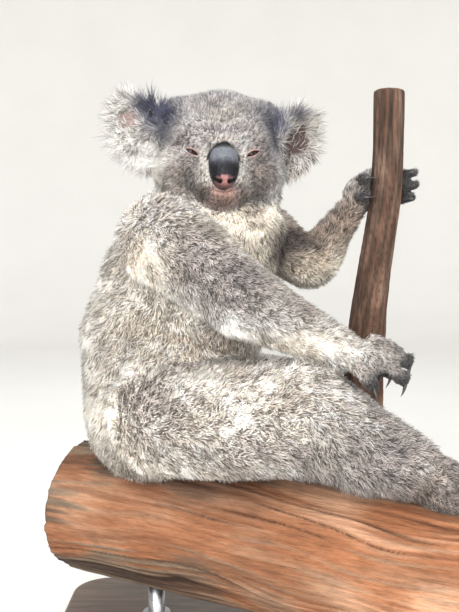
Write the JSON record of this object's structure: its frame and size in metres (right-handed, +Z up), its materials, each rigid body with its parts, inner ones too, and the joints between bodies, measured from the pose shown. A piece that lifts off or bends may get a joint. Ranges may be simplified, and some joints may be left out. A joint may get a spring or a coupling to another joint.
{
  "type": "koala",
  "caption": "Life-size koala sitting on a cut length of limb, holding an upright stem and looking round to its side, on a plain display stand.",
  "frame": {"origin": "centre of the base's underside, on the floor", "axes": "+Z up, +X the way the koala's body sits and its legs point, -Y the way it looks"},
  "size_m": [0.5525, 0.3577, 0.6523],
  "materials": {
    "coat": "thick soft fur, grey with pale tips, cream on the chest and ears",
    "nose_leather": "smooth bare leather, softly shining",
    "eye": "wet gloss",
    "claw": "polished horn",
    "limb_wood": "weathered, streaked along its length",
    "stem_wood": "thin smooth bark, streaked along its length",
    "stand_board": "dark satin board",
    "stand_rod": "satin"
  },
  "bodies": {
    "root": {"stand_base": "stand_board", "stand_rod_1": "stand_rod", "stand_rod_2": "stand_rod", "perch_limb": "limb_wood", "perch_stem": "stem_wood", "head": "coat", "nose": "nose_leather", "eye_right": "eye", "eye_left": "eye", "ear_right": "coat", "ear_left": "coat", "neck": "coat", "trunk": "coat", "upper_arm_right": "coat", "forearm_right": "coat", "upper_arm_left": "coat", "forearm_left": "coat", "thigh_right": "coat", "shank_right": "coat", "thigh_left": "coat", "shank_left": "coat", "hand_right": "coat", "hand_left": "coat", "foot_right": "coat", "foot_left": "coat", "claw_hand_right_1": "claw", "claw_hand_right_2": "claw", "claw_hand_right_3": "claw", "claw_hand_right_4": "claw", "claw_hand_right_5": "claw", "claw_hand_left_1": "claw", "claw_hand_left_2": "claw", "claw_hand_left_3": "claw", "claw_hand_left_4": "claw", "claw_hand_left_5": "claw", "claw_foot_right_2": "claw", "claw_foot_right_3": "claw", "claw_foot_right_4": "claw", "claw_foot_right_5": "claw", "claw_foot_left_2": "claw", "claw_foot_left_3": "claw", "claw_foot_left_4": "claw", "claw_foot_left_5": "claw"}
  },
  "joints": []
}
